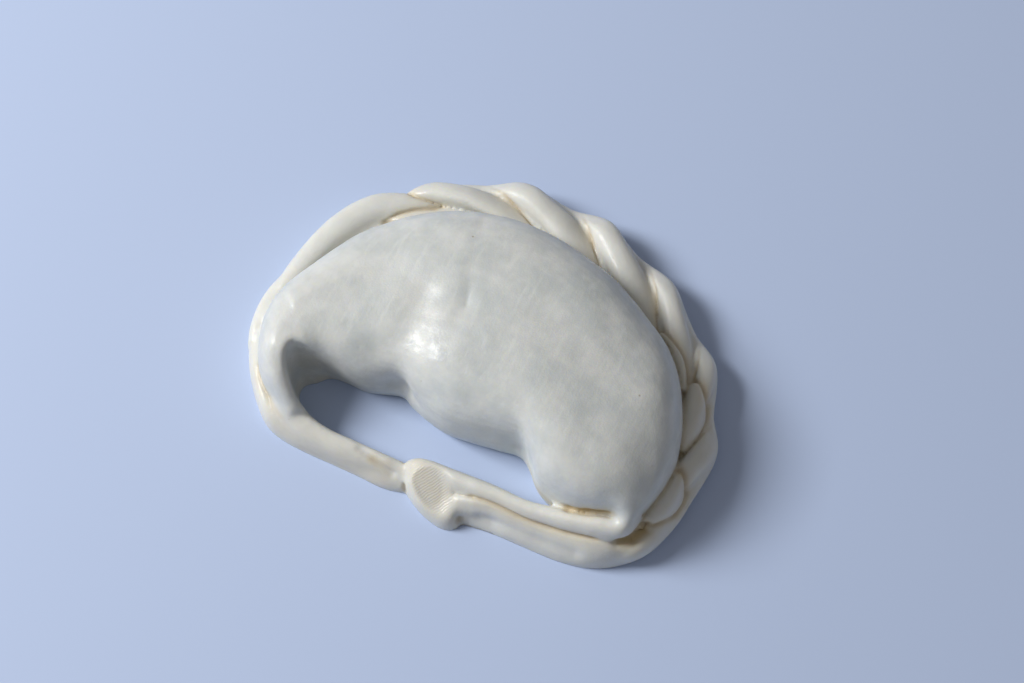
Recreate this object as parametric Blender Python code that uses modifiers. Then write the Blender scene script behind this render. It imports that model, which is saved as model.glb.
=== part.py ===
# An empanada of raw dough: a folded disc round its filling, with a roped rim,
# and its two horns bent round the front and pinched together into a ring.
# X runs along the length, Y towards the roped back, Z up, metres in Blender.

import math

import bmesh
import bpy
import numpy as np
from mathutils import Matrix

MM = 0.001

# How the surface is made, in millimetres.
STEP = 1.2          # spacing of the rings along a roll of dough
SLICE_STEP = 2.0    # spacing of the slices along the belly
RING = 26           # points round a roll
VOXEL = 0.55        # grid that fuses the rolls into one body
SMOOTH_PASSES = 5   # softens the creases where rolls meet
TRIANGLES = 11400   # what the finished body is thinned to
BELOW = 3.0         # how far shapes reach below the table before they are cut flat
WELD = 0.1          # points nearer than this to each other or to the table are joined to it

# The middle of the rim, from the left horn round the back to the right horn.
RIM_LINE = [
    (-36.5, -37.0), (-48.5, -28.5), (-53.5, -11.0), (-47.5, 12.5), (-30.5, 29.5), (-6.5, 36.5),
    (19.5, 31.5), (40.5, 16.0), (49.5, -6.0), (46.0, -24.5), (38.5, -31.0),
]

# The belly is a row of slices from the rim to the front. A slice is placed by
# its distance along the rim's line, and each profile below gives one of its
# sizes at a few distances.
FRONT_EDGE = [      # distance, then the front's x and y: three bulges
    (26.0, -45.5, -21.0), (34.0, -40.5, -22.5), (45.0, -34.5, -22.0), (60.0, -24.5, -21.5),
    (72.0, -16.5, -18.8), (80.0, -12.3, -20.2), (92.0, -2.5, -22.2), (105.0, 8.4, -20.6),
    (114.0, 14.3, -19.6), (121.0, 17.8, -21.6), (130.0, 21.3, -25.0), (140.0, 25.9, -26.2),
    (150.0, 30.9, -25.8), (160.0, 34.7, -24.5), (180.0, 40.0, -24.5), (190.0, 42.7, -26.0),
    (198.0, 44.0, -26.0),
]
TOP_HEIGHT = [
    (26.0, 16.0), (34.0, 19.0), (48.0, 21.2), (66.0, 23.2), (80.0, 25.4), (95.0, 27.6),
    (114.0, 28.2), (132.0, 27.5), (150.0, 26.0), (165.0, 24.2), (180.0, 20.8), (198.0, 14.8),
]
FRONT_HEIGHT = [
    (26.0, 12.0), (36.0, 12.5), (60.0, 8.6), (80.0, 8.8), (95.0, 10.0), (150.0, 9.6), (190.0, 9.4),
]
FRONT_TUCK = [
    (26.0, -5.0), (34.0, -4.0), (45.0, 0.0), (60.0, 4.0), (75.0, 5.0), (130.0, 5.0),
    (150.0, 3.0), (198.0, 1.0),
]
BACK_INSET = [
    (26.0, 0.5), (45.0, 4.6), (60.0, 6.5), (112.0, 7.6), (138.0, 6.6), (160.0, 4.4),
    (180.0, 3.0), (198.0, 2.0),
]
BACK_HEIGHT = 8.0
BACK_TUCK = 2.0
FRONT_ARCH = [(26.0, 0.7), (66.0, 0.62), (85.0, 0.5), (120.0, 0.44), (150.0, 0.44), (198.0, 0.6)]
BACK_ARCH = 0.74            # 1 is an ellipse, less is squarer in the shoulder
NOTCH_FADE = 6.0            # how soon the notches between the bulges fade up the belly
SHOULDER_PASSES = 36        # evens the front out into the line that the shoulders follow

# Rolls of dough: x, y, height of the top, half width, half height.
BEND = [            # the left end of the belly, folded down round the hole
    (-35.0, -9.0, 21.0, 7.0, 12.0),
    (-42.0, -19.0, 20.5, 5.5, 14.0),
    (-43.0, -23.0, 19.5, 4.8, 14.5),
    (-42.0, -27.5, 18.0, 4.4, 14.0),
    (-39.5, -31.5, 15.0, 4.2, 12.0),
    (-36.0, -33.5, 12.0, 3.8, 10.0),
    (-25.0, -34.0, 7.0, 2.5, 6.0),
]
LEFT_HORN = [       # the thin rim outside the bend, which widens into the horn
    (-49.5, 5.0, 7.5, 2.2, 6.0),
    (-53.2, -13.5, 7.5, 2.8, 6.0),
    (-49.5, -25.0, 6.5, 2.2, 5.0),
    (-41.0, -35.0, 7.5, 2.6, 5.0),
    (-35.5, -36.3, 8.0, 2.8, 5.2),
    (-24.5, -36.0, 8.0, 3.0, 4.8),
    (-12.5, -35.0, 6.5, 2.5, 4.0),
    (-4.5, -34.0, 6.0, 2.4, 3.8),
]
HORN_INNER = [      # the ridge that runs from the belly's nose to the pinch
    (43.5, -19.5, 18.5, 5.5, 12.0),
    (43.0, -23.5, 15.5, 4.5, 10.0),
    (39.5, -26.5, 13.5, 3.8, 9.0),
    (28.5, -30.3, 11.0, 2.8, 6.8),
    (20.5, -30.5, 10.0, 2.6, 6.2),
    (6.0, -32.0, 9.5, 3.4, 6.0),
    (-4.0, -33.0, 8.5, 2.6, 5.2),
]
HORN_OUTER = [      # the second ridge below it, which carries on from the rope
    (3.5, -37.5, 6.0, 2.5, 4.0),
    (11.5, -34.5, 8.0, 3.3, 5.0),
    (25.0, -33.0, 8.5, 3.0, 5.2),
    (38.0, -31.0, 8.8, 3.2, 5.4),
    (43.5, -28.5, 8.2, 3.2, 5.0),
    (49.0, -17.5, 6.0, 3.0, 4.0),
]
PINCH = [           # the flattened end of the right horn, over the left one
    (-6.0, -32.8, 8.2, 2.8, 5.0),
    (-2.5, -34.0, 8.5, 4.0, 6.0),
    (1.0, -35.5, 8.2, 4.4, 6.0),
    (4.5, -36.5, 7.2, 4.0, 6.0),
    (8.0, -37.5, 5.5, 2.8, 5.0),
]

# Rolls beside the rim's line: distance along it, distance out of it, height of
# the top, half width, half height.
RIM_BED = [         # what the rope lies on
    (16.0, 0.0, 5.5, 2.6, 4.0),
    (36.0, -1.8, 5.5, 3.4, 4.0),
    (48.0, -3.2, 5.5, 4.4, 5.0),
    (60.0, -3.0, 5.0, 4.6, 5.0),
    (110.0, -3.0, 5.0, 5.0, 5.0),
    (160.0, -2.4, 5.4, 4.6, 5.0),
    (185.0, -2.4, 6.0, 4.6, 5.0),
    (208.0, -1.0, 5.0, 3.5, 5.0),
]
LONG_FOLD = [       # the first fold of the rope, which lies along the rim
    (27.0, -1.8, 6.6, 1.2, 3.6),
    (40.0, -2.0, 8.2, 2.4, 4.4),
    (52.0, -1.4, 9.2, 3.3, 5.0),
    (60.0, -0.2, 9.5, 3.7, 5.2),
    (66.0, 0.2, 9.3, 3.6, 5.2),
    (74.0, -1.8, 8.6, 2.6, 4.4),
    (84.0, -4.4, 6.6, 0.9, 3.0),
]

# The rope's other folds: where each starts and ends along the rim's line, how
# far out of it, how far its middle bows outwards, half its width, its top.
ROPE = [
    (73.0, 109.0, 0.6, -6.0, 3.6, 4.2, 10.4),
    (94.0, 130.0, 4.4, -6.5, 2.8, 3.9, 10.6),
    (111.0, 151.0, 4.0, -5.4, 2.4, 3.8, 10.6),
    (131.0, 169.0, 3.6, -3.0, 2.2, 3.7, 10.5),
    (150.0, 184.0, 3.6, -3.8, 2.2, 3.5, 10.0),
    (171.0, 205.0, 3.0, -3.6, 1.9, 3.6, 9.6),
    (191.0, 214.0, 2.4, -1.2, 1.0, 3.4, 9.0),
]
TONGUES = [         # thin ends tucked between the belly and the rope
    (151.0, 166.0, -4.8, -4.2, 0.4, 1.6, 9.2),
    (204.0, 210.5, -3.0, 0.2, 0.2, 1.7, 8.8),
]
FOLD_END_WIDTH, FOLD_END_TOP = 0.8, 5.2
FOLD_HEIGHTS = 3.4, 3.2     # half height of a fold's end, and what its middle adds


def catmull(rows, step):
    """Rows of any width joined by a smooth curve, spaced evenly along it."""
    pts = np.array(rows, float)
    pts = np.vstack([2 * pts[0] - pts[1], pts, 2 * pts[-1] - pts[-2]])
    fine = []
    for i in range(1, len(pts) - 2):
        a, b, c, d = pts[i - 1:i + 3]
        for t in np.linspace(0.0, 1.0, 24, endpoint=False):
            fine.append(0.5 * (2 * b + (c - a) * t + (2 * a - 5 * b + 4 * c - d) * t ** 2
                               + (3 * b - a - 3 * c + d) * t ** 3))
    fine.append(pts[-2])
    fine = np.array(fine)
    along = lengths(fine)
    at = np.linspace(0.0, along[-1], max(4, round(along[-1] / step) + 1))
    return np.stack([np.interp(at, along, column) for column in fine.T], axis=1)


def evened(profile, passes):
    """The profile with its short waves averaged out."""
    profile = profile.copy()
    for _ in range(passes):
        profile[1:-1] = (profile[:-2] + 2 * profile[1:-1] + profile[2:]) / 4
    return profile


def lengths(points):
    """How far along its line each point lies, seen from above."""
    steps = np.linalg.norm(np.diff(points[:, :2], axis=0), axis=1)
    return np.concatenate([[0.0], np.cumsum(steps)])


def besideRim(distance, outward):
    """The place at a distance along the rim's line and out of it."""
    line = catmull(RIM_LINE, 1.0)
    along = lengths(line)
    spot, ahead, behind = (
        np.array([np.interp(distance + shift, along, line[:, k]) for k in (0, 1)])
        for shift in (0.0, 1.0, -1.0)
    )
    dx, dy = (ahead - behind) / np.linalg.norm(ahead - behind)
    return spot[0] - dy * outward, spot[1] + dx * outward


def skin(bm, rings):
    """A closed skin over rings of points, with a point at the middle of each end."""
    loops = [[bm.verts.new(p * MM) for p in ring] for ring in rings]
    count = len(loops[0])
    for first, second in zip(loops, loops[1:]):
        for k in range(count):
            n = (k + 1) % count
            bm.faces.new((first[k], first[n], second[n], second[k]))
    for loop in (loops[0][::-1], loops[-1]):
        middle = bm.verts.new(sum((v.co for v in loop), loop[0].co * 0.0) / count)
        for k in range(count):
            bm.faces.new((loop[k], loop[(k + 1) % count], middle))


def power(value, exponent):
    return np.sign(value) * np.abs(value) ** exponent


def roll(bm, rows, squareness=2.3):
    """A roll of dough with round ends along x, y, top, half width, half height."""
    rows = catmull(rows, STEP)
    reach = lengths(rows)
    along = np.gradient(rows[:, :2], axis=0)
    along /= np.linalg.norm(along, axis=1)[:, None]
    angle = np.linspace(0.0, 2 * math.pi, RING, endpoint=False)
    across = power(np.cos(angle), 2 / squareness)
    upward = power(np.sin(angle), 2 / squareness)
    rings = []
    for (x, y, top, half, tall), (dx, dy), s in zip(rows, along, reach):
        end = min(min(s, reach[-1] - s) / half, 1.0)
        round_end = math.sqrt(max(1.0 - (1.0 - end) ** 2, 0.04))
        side = np.outer(across * half * round_end, (dy, -dx, 0.0))
        rise = np.outer(upward * tall * round_end, (0.0, 0.0, 1.0))
        rings.append(np.array((x, y, top - tall)) + side + rise)
    skin(bm, rings)


def sliceRing(back, front, shoulder, front_height, top, tuck, front_arch):
    """One slice of the belly: an arch from the back to the front, then under.

    The arch heads for the shoulder and only near its foot for the front itself,
    so the notches between the bulges fade out up the belly.
    """
    crest = (back + shoulder) / 2
    quarter = np.linspace(0.0, math.pi / 2, 9)[1:]
    ring = []
    for edge, height, foot, arched in (
        (front, front_height, tuck, front_arch),
        (back, BACK_HEIGHT, BACK_TUCK, BACK_ARCH),
    ):
        inward = (crest - edge) / np.linalg.norm(crest - edge)
        arch = []
        for t in quarter:
            bend = math.sin(t) ** NOTCH_FADE if edge is front else 1.0
            target = edge * bend + shoulder * (1 - bend)
            rise = (top - height) * max(math.cos(t), 0.0) ** arched
            arch.append(crest + (target - crest) * math.sin(t) ** arched + (0, 0, height + rise))
        under = [
            edge + inward * foot * (1 - math.cos(t)) + (0, 0, height - (height + BELOW) * math.sin(t))
            for t in quarter
        ]
        ring.extend(arch + under if edge is front else under[::-1] + arch[::-1])
    return np.array(ring)


def belly(bm):
    distances = np.arange(FRONT_EDGE[0][0], FRONT_EDGE[-1][0], SLICE_STEP)
    edge = catmull(FRONT_EDGE, 0.5)
    profiles = [np.interp(distances, edge[:, 0], edge[:, k]) for k in (1, 2)]
    profiles += [evened(profile, SHOULDER_PASSES) for profile in profiles]
    for profile in (FRONT_HEIGHT, TOP_HEIGHT, FRONT_TUCK, FRONT_ARCH, BACK_INSET):
        smooth = catmull(profile, 0.5)
        profiles.append(np.interp(distances, smooth[:, 0], smooth[:, 1]))
    rings = []
    for distance, fx, fy, sx, sy, *sizes, inset in zip(distances, *profiles):
        back = np.array((*besideRim(distance, -inset), 0.0))
        front, shoulder = np.array((fx, fy, 0.0)), np.array((sx, sy, 0.0))
        rings.append(sliceRing(back, front, shoulder, *sizes))
    skin(bm, rings)


def besideRimRoll(bm, rows):
    roll(bm, [(*besideRim(distance, outward), *sizes) for distance, outward, *sizes in rows])


def ropeFold(bm, start, end, first, last, bow, half, top):
    """One fold of the rope: it crosses the rim and tapers to both ends."""
    rows = []
    for u in np.linspace(0.0, 1.0, 9):
        outward = first + (last - first) * u + bow * math.sin(math.pi * u)
        swell = math.sin(math.pi * (0.04 + 0.92 * u)) ** 0.8
        rows.append((
            start + (end - start) * u,
            outward,
            FOLD_END_TOP + (top - FOLD_END_TOP) * swell,
            FOLD_END_WIDTH + (half - FOLD_END_WIDTH) * swell,
            FOLD_HEIGHTS[0] + FOLD_HEIGHTS[1] * swell,
        ))
    besideRimRoll(bm, rows)


def dough():
    material = bpy.data.materials.new("rawDough")
    material.use_nodes = True
    shader = material.node_tree.nodes["Principled BSDF"]
    shader.inputs["Base Color"].default_value = (0.66, 0.64, 0.56, 1.0)
    shader.inputs["Roughness"].default_value = 0.45
    shader.inputs["Metallic"].default_value = 0.0
    return material


def rolledDough():
    """Every roll and fold as one mesh, still overlapping."""
    bm = bmesh.new()
    belly(bm)
    roll(bm, BEND, 2.6)
    for rows in (LEFT_HORN, HORN_INNER, HORN_OUTER, PINCH):
        roll(bm, rows)
    for rows in (RIM_BED, LONG_FOLD):
        besideRimRoll(bm, rows)
    for fold in ROPE + TONGUES:
        ropeFold(bm, *fold)
    mesh = bpy.data.meshes.new("empanada")
    bm.to_mesh(mesh)
    bm.free()
    return mesh


def table():
    """A block below the table's level, which cuts the underside flat."""
    bpy.ops.mesh.primitive_cube_add(size=1.0)
    block = bpy.context.object
    block.name = "belowTable"
    block.scale = (0.2, 0.2, 0.02)
    block.location = (0.0, 0.0, -0.01)
    block.hide_render = True
    block.display_type = "WIRE"
    return block


def applied(obj):
    """The object's mesh with its modifiers in it."""
    graph = bpy.context.evaluated_depsgraph_get()
    obj.data = bpy.data.meshes.new_from_object(obj.evaluated_get(graph))
    obj.modifiers.clear()


def fuse(obj):
    """Joins the rolls by a voxel remesh, softens the creases, cuts the underside."""
    remesh = obj.modifiers.new("fuse", "REMESH")
    remesh.mode = "VOXEL"
    remesh.voxel_size = VOXEL * MM
    soften = obj.modifiers.new("soften", "SMOOTH")
    soften.factor = 0.5
    soften.iterations = SMOOTH_PASSES
    block = table()
    cut = obj.modifiers.new("flatUnderside", "BOOLEAN")
    cut.operation = "DIFFERENCE"
    cut.object = block
    applied(obj)
    bpy.data.objects.remove(block, do_unlink=True)


def thin(obj):
    """Thins the mesh out, and sets the underside exactly on the table."""
    triangles = obj.modifiers.new("triangles", "TRIANGULATE")
    triangles.quad_method = "SHORTEST_DIAGONAL"
    applied(obj)
    decimate = obj.modifiers.new("thin", "DECIMATE")
    decimate.ratio = TRIANGLES / len(obj.data.polygons)
    applied(obj)
    bm = bmesh.new()
    bm.from_mesh(obj.data)
    for vertex in bm.verts:
        if vertex.co.z < WELD * MM:
            vertex.co.z = 0.0
    bmesh.ops.dissolve_degenerate(bm, edges=bm.edges, dist=WELD * MM)
    bmesh.ops.triangulate(bm, faces=bm.faces)
    bm.to_mesh(obj.data)
    bm.free()


def centre(obj):
    """Puts the origin under the middle of the whole, at the underside."""
    corners = np.array([vertex.co for vertex in obj.data.vertices])
    middle = (corners.min(axis=0) + corners.max(axis=0)) / 2
    obj.data.transform(Matrix.Translation((-middle[0], -middle[1], 0.0)))


def build():
    for old in list(bpy.data.objects):
        bpy.data.objects.remove(old, do_unlink=True)
    collection = bpy.data.collections.new("empanada")
    bpy.context.scene.collection.children.link(collection)
    obj = bpy.data.objects.new("empanada", rolledDough())
    collection.objects.link(obj)
    obj.data.materials.append(dough())
    fuse(obj)
    thin(obj)
    centre(obj)
    obj.data.shade_smooth()


build()
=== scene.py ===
import math

import bpy
import numpy as np
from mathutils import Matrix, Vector, noise
from mathutils.bvhtree import BVHTree


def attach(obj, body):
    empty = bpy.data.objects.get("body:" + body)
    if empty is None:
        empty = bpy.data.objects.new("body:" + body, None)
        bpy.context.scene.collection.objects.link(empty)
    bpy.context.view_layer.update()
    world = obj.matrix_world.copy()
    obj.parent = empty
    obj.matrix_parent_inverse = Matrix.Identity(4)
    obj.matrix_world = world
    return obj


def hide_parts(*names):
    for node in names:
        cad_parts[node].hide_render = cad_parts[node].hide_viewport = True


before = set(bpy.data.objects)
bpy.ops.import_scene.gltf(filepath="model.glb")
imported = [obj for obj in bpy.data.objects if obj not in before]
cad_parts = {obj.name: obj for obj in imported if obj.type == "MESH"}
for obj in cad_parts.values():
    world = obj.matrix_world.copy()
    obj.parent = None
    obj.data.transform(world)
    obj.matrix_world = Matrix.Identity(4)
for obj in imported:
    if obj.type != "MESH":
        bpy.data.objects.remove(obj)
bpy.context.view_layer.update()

# A raw empanada. Sizes are in millimetres, and shapes are turned to metres as they become meshes.
mm = 0.001
tableShift = (0.42, -1.46)  # from the tables' origin to the middle of the whole
fineParts = 24              # points of a curve between two rows, before it is spaced evenly
fineStep = 0.5              # spacing along the rim's line and the profiles

# The rim's middle line, from the left horn round the back to the right horn.
rim = {
    "line": [
        (-36.5, -37.0), (-48.5, -28.5), (-53.5, -11.0), (-47.5, 12.5), (-30.5, 29.5), (-6.5, 36.5),
        (19.5, 31.5), (40.5, 16.0), (49.5, -6.0), (46.0, -24.5), (38.5, -31.0),
    ],
}


def catmull(rows, spacing):
    # rows of any width, joined by a smooth curve and spaced evenly along it
    pts = np.array(rows, float)
    pts = np.vstack([2 * pts[0] - pts[1], pts, 2 * pts[-1] - pts[-2]])
    a, b, c, d = pts[:-3], pts[1:-2], pts[2:-1], pts[3:]
    t = np.linspace(0.0, 1.0, fineParts, endpoint=False)[None, :, None]
    a, b, c, d = (p[:, None, :] for p in (a, b, c, d))
    fine = 2 * b + (c - a) * t + (2 * a - 5 * b + 4 * c - d) * t ** 2
    fine = 0.5 * (fine + (3 * b - a - 3 * c + d) * t ** 3)
    fine = np.vstack([fine.reshape(-1, pts.shape[1]), pts[-2]])
    along = lengths(fine)
    at = np.linspace(0.0, along[-1], max(4, round(along[-1] / spacing) + 1))
    return np.stack([np.interp(at, along, column) for column in fine.T], axis=1)


def lengths(points):
    steps = np.linalg.norm(np.diff(points[:, :2], axis=0), axis=1)
    return np.concatenate([[0.0], np.cumsum(steps)])


rimPoints = catmull(rim["line"], fineStep)
rimAlong = lengths(rimPoints)


def besideRim(distance, outward):
    # the places at these distances along the rim's line, and so far out of it
    spot = np.stack([np.interp(distance, rimAlong, rimPoints[:, k]) for k in (0, 1)], axis=-1)
    ahead = np.stack([np.interp(distance + 1.0, rimAlong, rimPoints[:, k]) for k in (0, 1)], axis=-1)
    behind = np.stack([np.interp(distance - 1.0, rimAlong, rimPoints[:, k]) for k in (0, 1)], axis=-1)
    run = ahead - behind
    run = run / np.linalg.norm(run, axis=-1, keepdims=True)
    return spot + np.stack([-run[..., 1], run[..., 0]], axis=-1) * np.asarray(outward)[..., None]


def step(low, high, value):
    t = np.clip((value - low) / (high - low), 0.0, 1.0)
    return t * t * (3 - 2 * t)


def power(value, exponent):
    return np.sign(value) * np.abs(value) ** exponent


roll = {
    "squareness": 2.3,   # 2 is an ellipse, more is boxier
    "ringStep": 0.8,
    "around": 44,
    "leastEnd": 0.03,    # so the end rings don't close to a point
}


def roundEnd(reach, width):
    # the share of its full width that a roll has near its ends, so they come out round
    end = np.clip(np.minimum(reach, reach[-1] - reach) / width, 0.0, 1.0)
    return np.sqrt(np.maximum(1.0 - (1.0 - end) ** 2, roll["leastEnd"]))


def rollRings(rows, lean=0.0):
    # a roll of dough with round ends; lean lifts its right side and lowers its left one
    rows = catmull(rows, roll["ringStep"])
    reach = lengths(rows)
    along = np.gradient(rows[:, :2], axis=0)
    along /= np.linalg.norm(along, axis=1)[:, None]
    angle = np.linspace(2 * math.pi, 0.0, roll["around"], endpoint=False)
    across = power(np.cos(angle), 2 / roll["squareness"])
    upward = power(np.sin(angle), 2 / roll["squareness"])
    ends = roundEnd(reach, rows[:, 3])
    half = (rows[:, 3] * ends)[:, None] * across
    rise = (rows[:, 4] * ends)[:, None] * upward + lean * half
    x = rows[:, 0, None] + half * along[:, 1, None]
    y = rows[:, 1, None] - half * along[:, 0, None]
    z = (rows[:, 2] - rows[:, 4])[:, None] + rise
    return np.stack([x, y, z], axis=-1)


def skin(rings):
    # a closed skin over rings of points, with a point at the middle of each end
    count, around = rings.shape[:2]
    points = np.vstack([rings.reshape(-1, 3), rings[0].mean(axis=0), rings[-1].mean(axis=0)])
    faces = []
    for i in range(count - 1):
        for k in range(around):
            n = (k + 1) % around
            faces.append((i * around + k, i * around + n, (i + 1) * around + n, (i + 1) * around + k))
    last = (count - 1) * around
    for k in range(around):
        n = (k + 1) % around
        faces.append((n, k, count * around))
        faces.append((last + k, last + n, count * around + 1))
    return points + (*tableShift, 0.0), faces


# The belly: slices from the rim to the front, each placed by its distance along the rim.
# The first ones curl down round the left end of the hole.
belly = {
    "front": [
        (0.0, -33.0, -32.6), (4.0, -36.4, -31.0), (9.0, -39.0, -28.9), (15.0, -40.6, -26.7),
        (20.0, -41.0, -24.9), (26.0, -40.1, -23.1), (34.0, -37.2, -22.0), (45.0, -33.1, -21.6),
        (60.0, -24.5, -21.5), (72.0, -16.5, -18.8), (80.0, -12.3, -20.2), (92.0, -2.5, -22.2),
        (105.0, 8.4, -20.6), (114.0, 14.3, -19.6), (121.0, 17.8, -21.6), (130.0, 21.3, -25.0),
        (140.0, 25.9, -26.7), (150.0, 30.9, -27.0), (160.0, 34.9, -26.0), (180.0, 40.0, -24.5),
        (190.0, 42.7, -26.0), (198.0, 44.0, -26.0),
    ],
    "top": [
        (0.0, 10.5), (4.0, 14.5), (9.0, 18.0), (15.0, 20.0), (20.0, 21.0), (34.0, 21.4), (48.0, 21.9),
        (66.0, 23.2), (80.0, 25.2), (95.0, 27.2), (114.0, 28.0), (132.0, 27.5), (150.0, 26.0),
        (165.0, 24.2), (180.0, 20.8), (198.0, 14.8),
    ],
    "frontHeight": [
        (0.0, 6.0), (4.0, 9.0), (9.0, 13.0), (15.0, 16.0), (20.0, 17.4), (34.0, 17.0), (45.0, 12.6),
        (60.0, 9.0), (80.0, 8.8), (95.0, 10.0), (150.0, 9.6), (190.0, 9.4),
    ],
    "tuck": [
        (0.0, -1.5), (9.0, -3.0), (18.0, -5.4), (25.0, -6.0), (32.0, -4.2), (39.0, -1.0), (46.0, 3.0),
        (54.0, 5.5), (60.0, 5.0), (75.0, 5.0), (120.0, 5.0), (134.0, 3.6), (150.0, 0.8),
        (165.0, 0.0), (198.0, 0.0),
    ],
    "arch": [
        (0.0, 0.8), (15.0, 0.6), (34.0, 0.6), (66.0, 0.66), (85.0, 0.62), (120.0, 0.54),
        (150.0, 0.48), (198.0, 0.6),
    ],
    "backArch": [(0.0, 0.9), (40.0, 0.85), (70.0, 0.74), (198.0, 0.74)],
    "crest": [(0.0, 0.6), (15.0, 0.72), (24.0, 0.74), (34.0, 0.66), (52.0, 0.5), (198.0, 0.5)],
    "inset": [
        (0.0, 0.6), (26.0, 0.8), (34.0, 2.0), (45.0, 4.6), (60.0, 6.5), (112.0, 7.6), (138.0, 6.6),
        (160.0, 4.4), (180.0, 3.0), (198.0, 2.0),
    ],
    "backHeight": [(0.0, 6.0), (30.0, 7.0), (45.0, 8.0), (198.0, 8.0)],
    "backTuck": 2.0,
    "notchFade": 6.0,            # how soon the notches between the bulges fade up the belly
    "sliceStep": 1.2,
    "quarterPoints": 14,         # from the crest to the edge, and from there to the foot
    "shoulderPasses": 100,       # evens the front out into the line that the shoulders follow
    "shoulderFrom": (42.0, 68.0),   # where they begin to, in distance along the rim
    "below": 3.0,                # how far it reaches below the table before it is cut flat
}


def evened(profile, passes):
    # the profile with its short waves averaged out
    profile = profile.copy()
    for _ in range(passes):
        profile[1:-1] = (profile[:-2] + 2 * profile[1:-1] + profile[2:]) / 4
    return profile


def bellyRings():
    at = np.arange(belly["front"][0][0], belly["front"][-1][0], belly["sliceStep"])
    edge = catmull(belly["front"], fineStep)
    front = np.stack([np.interp(at, edge[:, 0], edge[:, k]) for k in (1, 2)], axis=1)
    shoulder = np.stack([evened(front[:, k], belly["shoulderPasses"]) for k in (0, 1)], axis=1)
    shoulder = front + (shoulder - front) * step(*belly["shoulderFrom"], at)[:, None]

    def profile(name):
        smooth = catmull(belly[name], fineStep)
        return np.interp(at, smooth[:, 0], smooth[:, 1])[:, None]

    back = besideRim(at, -profile("inset")[:, 0])
    crest = back + (shoulder - back) * profile("crest")
    quarter = np.linspace(0.0, math.pi / 2, belly["quarterPoints"])[1:][None, :]
    top = profile("top")
    rings = []
    for edge, height, foot, arched, fade in (
        (front, profile("frontHeight"), profile("tuck"), profile("arch"), belly["notchFade"]),
        (back, profile("backHeight"), belly["backTuck"], profile("backArch"), 0.0),
    ):
        bend = (np.sin(quarter) ** fade)[..., None]
        target = edge[:, None] * bend + (shoulder if fade else edge)[:, None] * (1 - bend)
        out = (np.sin(quarter) ** arched)[..., None]
        spread = crest[:, None] + (target - crest[:, None]) * out
        rise = height + (top - height) * np.maximum(np.cos(quarter), 0.0) ** arched
        arch = np.concatenate([spread, rise[..., None]], axis=-1)
        inward = (crest - edge) / np.linalg.norm(crest - edge, axis=1)[:, None]
        slide = inward[:, None] * (foot * (1 - np.cos(quarter)))[..., None]
        drop = height - (height + belly["below"]) * np.sin(quarter)
        drop = np.broadcast_to(drop, slide.shape[:2])[..., None]
        under = np.concatenate([edge[:, None] + slide, drop], axis=-1)
        rings.append((arch, under))
    (frontArch, frontUnder), (backArch, backUnder) = rings
    return np.concatenate([frontArch, frontUnder, backUnder[:, ::-1], backArch[:, ::-1]], axis=1)


# The horns. Rows: x, y, top, half width, half height.
hornUpper = {
    "rows": [
        (-41.6, -29.4, 13.6, 2.0, 7.0), (-38.6, -33.2, 10.6, 2.7, 6.4), (-33.0, -35.4, 8.4, 2.9, 5.6),
        (-27.0, -36.0, 7.4, 2.8, 5.2), (-20.0, -35.7, 6.9, 2.7, 5.0), (-12.0, -35.0, 6.4, 2.5, 4.6),
        (-6.0, -34.0, 5.8, 2.1, 4.2), (-2.0, -33.4, 5.4, 1.6, 3.8),
    ],
    "lean": -0.3,
}
hornLower = {   # the flatter band under it, which comes round from the rim
    "rows": [
        (-54.2, -12.0, 6.6, 1.6, 4.6), (-53.9, -16.0, 7.0, 2.1, 4.8), (-52.6, -20.6, 7.2, 2.2, 4.8),
        (-50.4, -25.2, 7.2, 2.1, 4.8), (-47.7, -29.2, 7.0, 1.9, 4.6), (-44.2, -33.0, 6.8, 1.8, 4.6),
        (-40.4, -35.8, 6.4, 2.0, 4.6), (-36.0, -36.9, 5.4, 2.1, 4.2), (-30.0, -37.3, 4.4, 1.9, 3.4),
        (-24.0, -37.1, 4.0, 1.9, 3.2), (-17.0, -36.8, 4.0, 2.0, 3.2), (-11.0, -36.8, 4.0, 2.0, 3.2),
        (-6.5, -36.0, 3.8, 1.7, 3.2), (-3.0, -35.2, 3.4, 1.3, 3.0),
    ],
    "lean": -0.3,
}
hornInner = {   # the ribbon from the belly's nose to the lip of the pinch
    "rows": [
        (42.6, -19.6, 17.0, 3.2, 11.0), (43.0, -23.4, 15.2, 2.9, 10.4), (42.2, -26.2, 13.8, 2.7, 9.2),
        (38.0, -27.5, 13.0, 2.9, 8.5), (32.0, -28.9, 11.9, 2.9, 7.5), (26.0, -30.0, 10.8, 2.6, 6.6),
        (20.5, -30.7, 10.1, 2.3, 6.0), (14.0, -30.8, 9.7, 2.3, 5.8), (7.0, -31.3, 9.5, 2.5, 5.6),
        (2.0, -31.6, 9.2, 2.6, 5.4), (-3.0, -31.9, 8.8, 2.5, 5.2), (-6.0, -32.6, 7.9, 2.1, 4.8),
        (-8.0, -34.0, 6.4, 1.4, 4.2),
    ],
}
hornOuter = {   # the broader ribbon below it, which carries on from the rope
    "rows": [
        (2.0, -36.6, 5.4, 2.2, 4.6), (6.0, -36.4, 6.0, 2.6, 4.6), (10.0, -35.4, 6.6, 3.0, 4.8),
        (14.0, -34.3, 6.8, 3.3, 5.0), (19.0, -33.6, 7.0, 3.4, 5.0), (25.0, -33.3, 7.0, 3.4, 5.0),
        (32.0, -32.7, 7.4, 3.5, 5.0), (38.0, -31.0, 8.2, 3.7, 5.2), (43.0, -28.2, 8.8, 3.4, 5.2),
        (46.8, -24.6, 8.6, 2.8, 5.0), (49.0, -20.6, 8.0, 2.0, 4.8),
    ],
    "lean": -0.75,
}
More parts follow.
